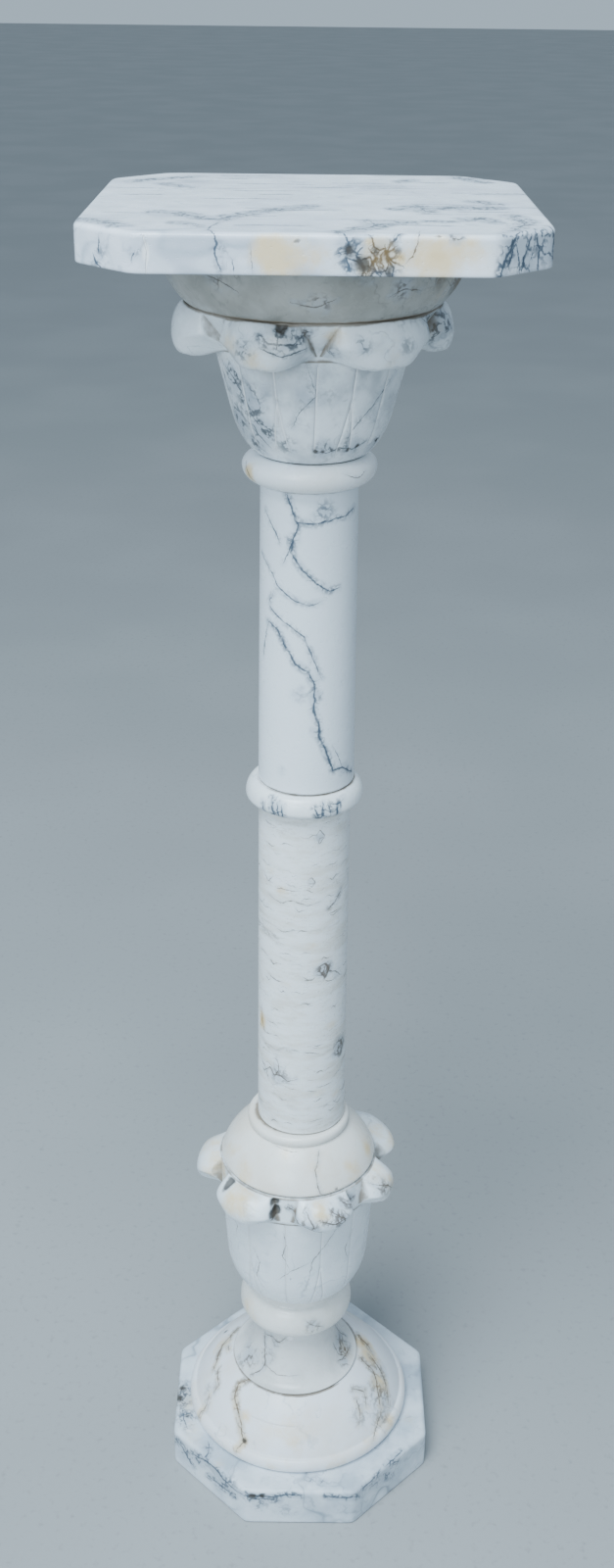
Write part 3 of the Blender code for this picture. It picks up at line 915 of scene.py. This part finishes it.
def mark_slab(marks):
    """Grey streaks, a cream and brown cluster in the front side and dark streaks in the right cant."""
    marks.veins(
        (0.9, (-57, 1019), (-53, 1009), (-52, 1005), (-53, 1001), (-53, 998), (-50, 991)),
        (0.6, (-52, 1050), (-57, 1028), (-57, 1019)), (0.6, (-117, 1022), (-117, 1014)),
        (0.7, (-121, 1016), (-119, 1010), (-114, 1002)), (0.5, (-96, 1000), (-98, 995)),
        (0.5, (-34, 1003), (-33, 990)), (0.6, (-44, 997), (-43, 990)),
    )
    marks.veins((1.3, (16, 1012), (18, 1006), (19, 1002), (17, 998), (19, 993)), halo=0.9)
    marks.veins(
        (0.9, (13, 1000), (19, 1002), (23, 1000), (26, 1004)),
        (1.0, (18, 998), (23, 996), (26, 993), (28, 989)),
        (1.1, (26, 997), (30, 998), (32, 995), (33, 991), (30, 988)),
        (1.2, (38, 1003), (39, 998), (41, 995), (43, 993), (42, 988)),
        (1.0, (38, 1000), (41, 1005), (44, 1009), (46, 1012)),
        (0.9, (30, 1010), (32, 1004), (35, 1002), (38, 1003)),
        (0.9, (33, 991), (36, 990), (39, 992), (40, 995)),
    )
    marks.veins((1.5, (22, 1000), (25, 996), (27, 992), (26, 988)), halo=0.9, width=3.0)
    marks.veins((1.4, (30, 1002), (33, 998), (31, 993), (35, 989)), halo=0.6, width=3.0)
    marks.veins((1.3, (43, 1003), (39, 1000), (42, 996), (47, 994)), halo=0.5, width=3.0)
    marks.veins((0.5, (57, 1025), (55, 1005), (53, 999), (49, 995)))
    marks.veins((1.2, (101, 991), (102, 998), (105, 1007), (107, 1014), (111, 1025)), halo=0.9)
    marks.veins(
        (0.9, (107, 1014), (107, 1006), (105, 1000)), (0.8, (109, 1014), (111, 1008), (112, 1000)),
        (1.1, (113, 1004), (114, 1011), (116, 1018), (118, 1027)),
        (1.0, (121, 1030), (123, 1022), (123, 1010)), (0.9, (128, 1048), (132, 1041), (132, 1028)),
    )
    marks.veins(
        (0.75, (-90, 1086), (-76, 1081), (-63, 1065), (-53, 1060), (-47, 1073), (-40, 1082),
          (-18, 1103), (-4, 1118)), (0.6, (-117, 1226), (-103, 1240), (-78, 1256)),
        (0.5, (-95, 1215), (-79, 1200)), (0.7, (-130, 1053), (-116, 1045), (-106, 1030)),
        (0.5, (-76, 1045), (-64, 1033)), (0.9, (16, 1019), (29, 1032), (38, 1048), (51, 1055)),
        (0.9, (49, 1108), (60, 1120), (67, 1113), (87, 1117), (106, 1117)), (0.6, (62, 1116), (65, 1099)),
        (0.6, (66, 1060), (73, 1060)), (0.7, (85, 1071), (94, 1072), (101, 1059)),
        (0.5, (31, 1060), (34, 1041)), (0.6, (96, 1264), (104, 1251), (112, 1239)),
        (0.5, (55, 1238), (63, 1250)), (0.6, (97, 1145), (108, 1135)),
        (0.6, (109, 1029), (119, 1061), (113, 1086)), halo=1.3, width=8.0,
    )
    marks.scatter(36, 5, (-110, 125), (1030, 1270), 36, 0.9)
    marks.incise([(-91, 1007), (-89, 1000), (-90, 991)], 1.2, 0.2)
    marks.blots(
        "grey", (20, 1000, 8, 1.3), (36, 996, 11, 1.1), (76, 1010, 5, 0.9), (110, 1014, 12, 1.2),
        (124, 1030, 11, 1.1), (-118, 1012, 8, 0.55), (-95, 1000, 6, 0.45), (-50, 1000, 6, 0.5),
    )
    marks.blots(
        "warm", (36, 1000, 10, 1.1, 0.9), (46, 998, 4.5, 1.0), (30, 1006, 4, 0.9, 0.8),
        (66, 999, 23, 0.85, 0.6), (-15, 998, 22, 0.75, 0.6), (28, 992, 5, 0.8),
    )
    marks.blots(
        "dark", (-9, 1006, 1.4, 0.8), (26, 994, 5.0, 0.9), (19, 1001, 4.0, 0.75), (40, 991, 4.0, 0.7),
        (33, 1001, 3.0, 0.6), (45, 1001, 2.2, 0.5), (66, 1010, 1.5, 0.8),
    )
    marks.blots("bare", (-90, 999, 2.0, 1.0, 3.2))


def mark_dish(marks):
    """Brownish smudges, and painted shadow under the slab, deepest at the right end."""
    marks.veins(
        (0.8, (-8, 966), (1, 963), (8, 968)), (0.7, (28, 968), (34, 972), (42, 970)),
        (0.6, (-42, 978), (-34, 975), (-28, 970)), (0.6, (58, 972), (66, 966), (74, 968)),
    )
    # The large grey blots at the right end, at 74 and 88 degrees, are painted shadow under the slab.
    for across, up, size, strength in (
        (2, 965, 8, 0.8), (34, 972, 9, 0.7), (-36, 975, 8, 0.6), (64, 968, 9, 0.7), (-70, 970, 9, 0.5),
        (18, 982, 10, 0.45), (74, 975, 22, 1.0), (50, 980, 12, 0.7), (88, 968, 20, 1.0),
    ):
        marks.blots("grey", (across, up, size, strength))
        marks.blots("warm", (across, up, size, 0.3 * strength))
    # Painted shadow: the dish's right end, and a little its left, darkened and warmed under the slab.
    marks.blots("seam_dirt_and_shade", (74, 972, 20, 0.8), (56, 974, 18, 0.5), (-84, 974, 18, 0.3))
    marks.blots("warm", (62, 972, 22, 0.3))


def mark_capital(marks):
    """The broken patch on a leaf, the mottled left wall, the dotted foot and the carved lines of the bell."""
    marks.veins((1.1, (-21, 945), (-17, 941), (-8, 941), (-3, 946)), halo=0.9)
    marks.veins((0.8, (-20, 938), (-12, 934), (-3, 938)))
    marks.veins(
        (0.45, (-4, 927), (3, 905), (-7, 896), (-14, 884)),
        (0.5, (57, 913), (43, 896), (31, 884), (26, 874)), halo=0.7, width=6.0,
    )
    marks.veins((0.9, (54, 950), (60, 944), (66, 948), (72, 942)), halo=0.9)
    marks.veins(
        (0.7, (2, 869), (12, 867), (22, 870), (34, 868), (46, 872)),
        (0.7, (-66, 918), (-56, 910), (-48, 898), (-44, 888), (-36, 880)),
        (0.6, (-52, 884), (-42, 876), (-34, 868)),
    )
    marks.pit((-13, 950), 3.0, 2.0)
    for azimuth in (3, 9, 16, 22, 30, 38, 62):
        marks.blots("dark", (azimuth, 868 + azimuth % 3, 1.5, 0.85))
    for azimuth in (-126, -100, -74, -48, 3, 52, 78, 104, 130, 156):
        marks.incise([(azimuth, 924), (azimuth - 1, 868)], 1.3, 0.45)
    for azimuth in (-152, -23, 26):
        marks.fork(azimuth, 924, 900, 868, (-6, 5), 1.3, 0.45)
    marks.blots(
        "grey", (-12, 945, 9, 0.9), (-44, 897, 12, 1.0), (-56, 911, 10, 1.0), (-37, 880, 10, 1.0),
        (-62, 884, 10, 0.9), (-70, 905, 9, 0.6), (-20, 872, 9, 0.6), (10, 869, 8, 0.75), (32, 871, 8, 0.75),
        (62, 867, 8, 0.7), (48, 890, 9, 0.45), (10, 905, 10, 0.35), (40, 938, 8, 0.5), (62, 947, 9, 1.2),
        (76, 940, 12, 1.0), (20, 940, 7, 0.6), (-4, 906, 8, 0.5), (-28, 936, 9, 0.6), (8, 934, 7, 0.6),
        (-50, 868, 8, 0.8), (-30, 905, 8, 0.4),
    )
    marks.blots(
        "warm", (-35, 938, 9, 0.35), (-15, 940, 12, 0.30), (32, 935, 12, 0.25), (70, 938, 14, 0.4),
        (-20, 930, 14, 0.4), (10, 945, 8, 0.4),
    )


def mark_upper_ring(marks):
    """A brown stain at the left."""
    marks.veins((0.9, (-72, 852), (-62, 847), (-56, 842)), halo=0.3)
    marks.veins((0.5, (30, 852), (44, 848), (55, 851)))
    marks.blots("warm", (-62, 847, 6, 0.9, 1.2))


def mark_upper_shaft(marks):
    """The branching blue-grey veins."""
    marks.veins(
        (1.0, (-26, 836), (-12, 817), (-18, 807), (-20, 798), (-8, 788), (9, 778), (25, 772), (37, 773)),
        (0.7, (-61, 822), (-45, 812), (-35, 804)),
        (0.9, (-26, 835), (-15, 819), (-4, 818), (10, 818), (31, 820), (44, 820), (63, 824)),
        (0.7, (-69, 792), (-45, 781), (-39, 774), (-15, 766), (1, 763), (19, 766)),
        (0.8, (-45, 768), (-53, 759), (-37, 753), (-19, 747), (-4, 741), (8, 724), (16, 712)),
        (1.2, (-53, 747), (-38, 744), (-25, 732), (-14, 722), (1, 716), (8, 708)),
        (1.5, (8, 708), (9, 696), (8, 688), (15, 678), (15, 669), (24, 657), (33, 642), (47, 642),
          (68, 634)), (0.6, (-53, 747), (-60, 732), (-64, 720)), (0.6, (-12, 817), (-22, 800), (-30, 790)),
        (0.5, (47, 642), (40, 652), (33, 660)), halo=0.55,
    )
    marks.blots(
        "grey", (18, 826, 9, 0.6), (10, 700, 6, 0.8), (-8, 700, 8, 0.4), (-20, 806, 6, 0.6),
        (12, 674, 5, 0.7), (-30, 642, 5, 0.35), (50, 640, 6, 0.5),
    )


def mark_middle_ring(marks):
    """Dark upright cracks."""
    marks.veins(
        (1.2, (-35, 622), (-31, 613), (-30, 608)), (1.2, (-27, 619), (-25, 609)),
        (0.9, (-22, 618), (-22, 609)), (1.2, (11, 618), (14, 612), (15, 608)),
        (1.2, (19, 621), (18, 616), (16, 611)), (1.2, (35, 619), (33, 611), (31, 608)),
        (0.8, (24, 620), (26, 614)), (0.6, (-45, 618), (-43, 611)), (0.6, (28, 620), (36, 619), (44, 621)),
        halo=0.8,
    )
    marks.blots("grey", (-28, 611, 6, 0.9), (18, 612, 8, 0.8))


def mark_lower_shaft(marks):
    """Knots, rings, stains and a cluster of cracks."""
    marks.veins(
        (1.9, (54, 412), (62, 411), (67, 405), (60, 399), (53, 404), (60, 407)),
        (1.4, (23, 485), (30, 487), (35, 481), (30, 475), (24, 479), (29, 482)),
        (0.7, (34, 480), (45, 477), (59, 470)), (1.0, (34, 532), (44, 536), (54, 542)),
        (0.45, (14, 592), (20, 597), (26, 592), (20, 587), (14, 592)),
        (0.45, (5, 556), (10, 560), (15, 556), (10, 552), (5, 556)),
        (0.8, (-58, 384), (-45, 391), (-38, 386), (-28, 388), (-18, 384), (-6, 387)),
        (0.6, (-34, 402), (-30, 393), (-38, 384)), (0.6, (-64, 392), (-55, 388), (-48, 380)),
        (0.5, (-48, 540), (-30, 537), (-12, 541), (6, 537), (22, 540)),
        (0.5, (-60, 556), (-50, 551), (-42, 556)), halo=0.45,
    )
    marks.scatter(150, 11, (-95, 95), (340, 604), 15, 0.42)
    marks.scatter(60, 12, (95, 265), (340, 604), 17, 0.4)
    marks.veins((0.8, (-66, 440), (-63, 428), (-57, 419)), halo=0.2)
    for place in (
        (-50, 560), (-28, 547), (12, 505), (-20, 470), (40, 430), (-5, 420), (20, 372), (-40, 372), (50, 365)
    ):
        marks.blots("warm", (*place, 8, 0.32, 0.6))
    marks.blots(
        "grey", (60, 406, 8, 1.3), (29, 481, 7, 1.1), (20, 592, 5, 0.6), (10, 556, 4, 0.5),
        (-30, 388, 12, 0.55), (50, 474, 6, 0.45),
    )
    marks.blots("warm", (-64, 427, 5, 1.0, 1.7))


def mark_skirt(marks):
    """Tan smudges and a faint crack."""
    marks.veins((0.6, (23, 325), (15, 314), (16, 301), (19, 296)))
    marks.veins((0.5, (-28, 326), (-12, 325), (2, 325)), halo=0.2)
    marks.blots(
        "warm", (-48, 304, 12, 0.45), (47, 306, 10, 0.5), (-15, 324, 7, 0.35), (16, 316, 6, 0.4),
        (-70, 312, 12, 0.4), (78, 310, 12, 0.45),
    )
    marks.blots("dark", (30, 299, 1.4, 0.8))


def mark_cup(marks):
    """Two deep holes, cracks and cream stains in the leaves; faint veins and carved lines in the wall."""
    marks.veins((1.2, (-16, 292), (-15, 283), (-18, 276)))
    marks.veins(
        (0.9, (-6, 288), (2, 281), (10, 275), (18, 270)), (0.9, (6, 290), (10, 282), (8, 274)),
        (1.0, (22, 290), (28, 284), (30, 277), (31, 270)), (0.8, (30, 292), (38, 286), (44, 284)),
        (0.8, (14, 286), (22, 281), (30, 283)), (0.7, (58, 291), (66, 286), (70, 280)), halo=0.8,
    )
    marks.veins(
        (0.5, (-10, 262), (-8, 250), (-11, 238), (-6, 224)),
        (0.5, (34, 266), (24, 250), (12, 232), (10, 214), (6, 200)),
        (0.45, (-36, 238), (-30, 224), (-34, 208), (-26, 194)), (0.45, (48, 252), (40, 236), (44, 220)),
        (0.4, (-60, 262), (-52, 248), (-56, 236)), (0.4, (12, 232), (-4, 222), (-16, 210)), halo=0.45,
    )
    marks.pit((-54, 293), 3.4, 3.0)
    marks.pit((-16, 293), 2.8, 2.6)
    marks.pit((-15, 285), 2.6, 2.2, 1.5)
    for azimuth in (-121, -70.5, -8.5, 46, 92, 156):
        marks.incise([(azimuth, 268), (azimuth, 178)], 0.75)
    for azimuth in (-165, -96, -39.5, 18.8, 69, 124):
        marks.fork(azimuth, 268, 222, 178, (-6, 6), 0.75)
    marks.blots("grey", (6, 280, 8, 0.9), (26, 283, 8, 0.8), (62, 287, 8, 0.7), (-30, 287, 7, 0.4))
    marks.blots(
        "warm", (-40, 290, 16, 0.55), (-75, 291, 18, 0.5), (15, 292, 9, 0.55), (70, 288, 16, 0.42),
        (-100, 290, 18, 0.35), (110, 290, 18, 0.35),
    )
    marks.blots("dark", (-5, 213, 1.0, 0.8))


def mark_lower_ring(marks):
    """A grey smudge."""
    marks.veins((0.5, (10, 157), (20, 151), (30, 148)))
    marks.blots("grey", (18, 150, 9, 0.55))
    marks.blots("warm", (-60, 150, 16, 0.35))


def mark_neck(marks):
    """A branching vein, a bright chip and a brown web at the right."""
    marks.veins(
        (0.9, (-50, 122), (-48, 113), (-44, 105), (-39, 97), (-41, 92), (-48, 87)),
        (0.7, (-49, 121), (-35, 123), (-25, 120), (-14, 126)), (0.5, (-40, 97), (-20, 93), (5, 95)),
        (1.0, (84, 116), (89, 108), (101, 94), (103, 90)), (0.8, (64, 104), (65, 96), (72, 90)),
        (0.9, (60, 92), (70, 90), (82, 89), (92, 88)),
    )
    marks.pit((-8, 126), 3.0, 1.0, 0.7, "bare", 1.0)
    marks.blots(
        "grey", (-66, 92, 14, 0.7), (-40, 104, 10, 0.5), (82, 97, 12, 1.0), (-30, 118, 6, 0.5),
        (66, 89, 7, 0.7),
    )
    marks.blots("warm", (80, 93, 9, 0.6))
    marks.blots("seam_dirt_and_shade", (-66, 92, 16, 0.25))


def mark_disc(marks):
    """Brown veins at the left, ochre stains and a grey web at the right, and a worn groove in front."""
    marks.veins(
        (1.1, (-113, 81), (-104, 78), (-99, 75), (-92, 73), (-85, 71), (-81, 68)),
        (0.7, (-94, 79), (-88, 80)), (0.8, (-78, 72), (-74, 70), (-67, 68), (-66, 64)),
        (0.8, (-67, 58), (-65, 52), (-65, 47), (-64, 43)),
        (1.0, (-48, 83), (-53, 78), (-51, 75), (-50, 72), (-45, 69), (-41, 66), (-36, 61), (-34, 56),
          (-31, 52), (-33, 46)), (1.0, (106, 85), (102, 84), (98, 80), (91, 77)),
        (1.2, (78, 83), (75, 79), (75, 75), (71, 71), (65, 67), (60, 60)),
        (0.9, (86, 78), (80, 70), (74, 62), (66, 54)), (0.8, (48, 78), (52, 76), (55, 73), (50, 66)),
        (0.7, (46, 73), (45, 70), (44, 66), (40, 60)), (0.6, (62, 58), (52, 52), (44, 46)), halo=0.6,
        width=5.0, tint=0.5,
    )
    marks.incise([(-30, 68), (-20, 68), (-10, 68), (-1, 68)], 0.6, 0.5)
    marks.blots(
        "grey", (44, 64, 13, 0.5), (64, 64, 16, 0.6), (80, 72, 12, 0.55), (-104, 78, 8, 0.6),
        (-40, 68, 7, 0.4), (56, 52, 14, 0.5), (-72, 60, 10, 0.4),
    )
    marks.blots(
        "warm", (98, 82, 10, 1.0), (84, 78, 12, 0.85), (70, 68, 10, 0.75), (58, 47, 10, 0.5),
        (40, 45, 9, 0.4), (-36, 66, 7, 0.5), (-31, 52, 4, 0.8), (-5, 62, 22, 0.35), (-100, 74, 12, 0.5),
        (-66, 56, 12, 0.4), (20, 44, 16, 0.3), (-10, 44, 16, 0.3),
    )
    marks.blots("dark", (-115, 71, 2.6, 0.8), (-31, 52, 2.0, 0.8))


def mark_plinth(marks):
    """Blue-grey streaks, spots, chips and the dark stain at the front corner."""
    marks.veins(
        (0.8, (-76, 84), (-75, 73), (-78, 68)), (0.9, (-105, 87), (-98, 78), (-93, 65), (-88, 56)),
        (1.1, (-92, 73), (-84, 68), (-76, 64), (-69, 57), (-62, 46), (-53, 36), (-46, 31)),
        (0.9, (-75, 48), (-62, 36), (-52, 28)), (1.4, (-43, 30), (-33, 30), (-21, 29), (-9, 32), (0, 31)),
        (0.9, (-40, 26), (-28, 27), (-16, 25)), (0.7, (76, 64), (78, 65), (81, 66)),
        (0.8, (85, 78), (78, 70), (71, 62)), (1.1, (22, 31), (26, 30), (34, 29), (46, 30)),
        (0.7, (66, 56), (58, 46), (50, 38)), (0.7, (-100, 120), (-98, 108), (-94, 98)), halo=0.9,
    )
    for field in ("warm", "seam_dirt_and_shade"):
        marks.blots(
            field, (-100, 128, 20, 0.35), (-90, 95, 16, 0.25), (-70, 62, 10, 0.25), (90, 110, 16, 0.2)
        )
    marks.blots(
        "dark", (-104, 131, 3.6, 0.85), (-101, 142, 3.2, 0.85), (-95, 112, 2.4, 0.85), (-38, 30, 3.4, 0.85),
        (-30, 30, 2.6, 0.85),
    )
    marks.pit((-93, 96), 2.6, 1.0, 1.0, "bare", 1.0)
    marks.pit((-43, 33), 3.0, 1.2, 1.0, "grey", 0.8)
    marks.pit((44, 31), 2.4, 0.8, 1.0, "bare", 0.5)
    marks.blots(
        "grey", (-34, 29, 9, 1.0, 0.5), (-31, 20, 8, 0.6), (-85, 66, 11, 0.8), (-60, 42, 10, 0.8),
        (71, 52, 9, 0.7), (60, 44, 9, 0.6), (8, 47, 5, 0.6), (18, 45, 5, 0.6), (-26, 45, 6, 0.5),
        (-102, 135, 11, 1.0, 1.4), (-96, 110, 10, 0.8), (-10, 14, 14, 0.4, 0.7), (36, 16, 12, 0.35, 0.7),
    )


# Joints: the stone below, the one above, the radius of the joint, the width of its dirt and its strength
SEATS = (
    ("plinth", "base_disc", 86.8, 1.5, 1.0), ("base_disc", "neck", 51.3, 1.5, 1.2),
    ("neck", "lower_ring", 31.5, 1.5, 0.8), ("lower_ring", "lower_leaf_cup", 32.3, 1.6, 0.8),
    ("lower_leaf_cup", "skirt", 59.5, 1.6, 1.6), ("skirt", "lower_shaft", 33.0, 1.4, 1.1),
    ("lower_shaft", "middle_ring", 32.4, 1.4, 0.7), ("middle_ring", "upper_shaft", 33.2, 1.6, 0.8),
    ("upper_shaft", "upper_ring", 32.0, 1.3, 0.6), ("upper_ring", "capital_bell", 32.5, 1.8, 0.9),
    ("capital_bell", "dish", 79.0, 2.0, 1.0), ("dish", "top_slab", 95.0, 1.6, 0.8),
)


def joints_of(stone):
    """The joints at a stone's foot and head: centre, radius, height, width of the dirt and its strength."""
    joints = []
    for below, above, radius, width, strength in SEATS:
        if stone.node in (below, above):
            height = stone.head if stone.node == below else stone.foot
            joints.append((Stone(above).centre, radius * MM, height, width, strength))
    return joints


def build():
    """Makes every stone, its marks and its finish."""
    veins = make_veins()
    groups = {
        "veins": veins, "marble": make_marble(veins), "line": make_drawn_line(),
        "grime_and_shade": make_ragged("settled_grime_and_shade", 130.0, 1.1, 0.15, 0.7),
        "blotch": make_ragged("ragged_blotch", None, 1.5, 0.05, 0.35),
    }

    def dress(stone, bm, slot_name, marks_of, chart=round_chart, **look):
        made = stone.stand(bm)
        marks = Marks(made, stone, chart)
        marks_of(marks)
        marks.settle_dirt_and_shade(joints_of(stone))
        marks.write()
        made.data.materials.append(marble(slot_name, groups, **look))

    dress(
        *carve_plinth(), "plinth_marble", mark_plinth, flat_chart, ground=(0.74, 0.80, 0.86),
        cloud=(0.45, 0.52, 0.60), ink=SLATE, cloudiness=0.8, vein=(0.24, 0.29, 0.35), veining=0.6,
        hairlines=0.6, scale=13.0, polish=0.42,
    )
    dress(
        *turned("base_disc", base_disc_outline, 360), "disc_marble", mark_disc, ground=(0.83, 0.86, 0.91),
        cloud=(0.78, 0.74, 0.70), hairlines=0.5, scale=12.0, polish=0.3,
    )
    # The neck's grey ground is partly grey stone and partly painted shade under the lower ring.
    dress(
        *turned("neck", neck_outline, 260), "neck_marble", mark_neck, ground=(0.72, 0.73, 0.73),
        cloud=STONE_GREY, cloudiness=0.4, vein=STONE_GREY, scale=14.0,
    )
    dress(
        *turned("lower_ring", lower_ring_outline), "lower_ring_marble", mark_lower_ring,
        ground=(0.85, 0.85, 0.83), cloud=(0.66, 0.65, 0.60), cloudiness=0.5, veining=0.15, hairlines=0.2,
        scale=14.0,
    )
    dress(
        *carve_cup(), "cup_marble", mark_cup, ground=(0.85, 0.91, 0.96), cloud=PEARL, veining=0.35,
        hairlines=0.55,
    )
    dress(
        *turned("skirt", skirt_outline, 260), "skirt_marble", mark_skirt, ground=(0.82, 0.81, 0.78),
        cloud=(0.76, 0.70, 0.61), cloudiness=0.7, veining=0.1, hairlines=0.25, vein=STONE_GREY, scale=14.0,
    )
    dress(
        *turned("lower_shaft", shaft_outline(33.5 * MM, 32.5 * MM)), "lower_shaft_marble", mark_lower_shaft,
        ground=(0.88, 0.92, 0.95), cloud=(0.74, 0.73, 0.69), cloudiness=0.8, vein=(0.36, 0.35, 0.33),
        stretch=(0.7, 0.7, 2.6), veining=0.45, hairlines=0.6, scale=28.0,
    )
    dress(
        *turned("middle_ring", ring_outline(32.5 * MM, 33.6 * MM, 5.5 * MM)), "middle_ring_marble",
        mark_middle_ring, ground=SNOW, cloud=PEARL, ink=SLATE, cloudiness=0.5, hairlines=0.5, scale=20.0,
    )
    dress(
        *turned("upper_shaft", shaft_outline(33.6 * MM, 32.0 * MM)), "upper_shaft_marble", mark_upper_shaft,
        ground=(0.80, 0.86, 0.92), cloud=(0.74, 0.80, 0.86), ink=SLATE, cloudiness=0.5, veining=0.08,
        hairlines=0.15,
    )
    dress(
        *turned("upper_ring", ring_outline(32.0 * MM, 32.5 * MM, 10.3 * MM)), "upper_ring_marble",
        mark_upper_ring, ground=(0.88, 0.92, 0.96), cloud=(0.84, 0.81, 0.76), cloudiness=0.4, veining=0.1,
        hairlines=0.2,
    )
    dress(
        *carve_bell(), "capital_marble", mark_capital, ground=(0.84, 0.89, 0.93), cloud=(0.48, 0.52, 0.56),
        ink=(0.07, 0.08, 0.09), cloudiness=0.75, vein=(0.30, 0.33, 0.37), veining=0.55, hairlines=0.6,
        scale=15.0,
    )
    # The dish's dark ground, cloud and vein colours are painted shade: the whole dish lies in the slab's
    # shadow.
    dress(
        *turned("dish", dish_outline, 320), "dish_marble", mark_dish, ground=(0.44, 0.43, 0.40),
        cloud=(0.32, 0.31, 0.28), cloudiness=0.8, vein=(0.20, 0.19, 0.17), veining=0.5, hairlines=0.6,
        scale=16.0,
    )
    dress(
        *carve_slab(), "slab_marble", mark_slab, flat_chart, ground=(0.81, 0.86, 0.93),
        cloud=(0.64, 0.68, 0.78), ink=SLATE, veining=0.5, hairlines=0.5, scale=11.0,
        stretch=(0.6, 1.0, 1.0), polish=0.2,
    )


set_camera()
set_light()
lay_floor()
build()

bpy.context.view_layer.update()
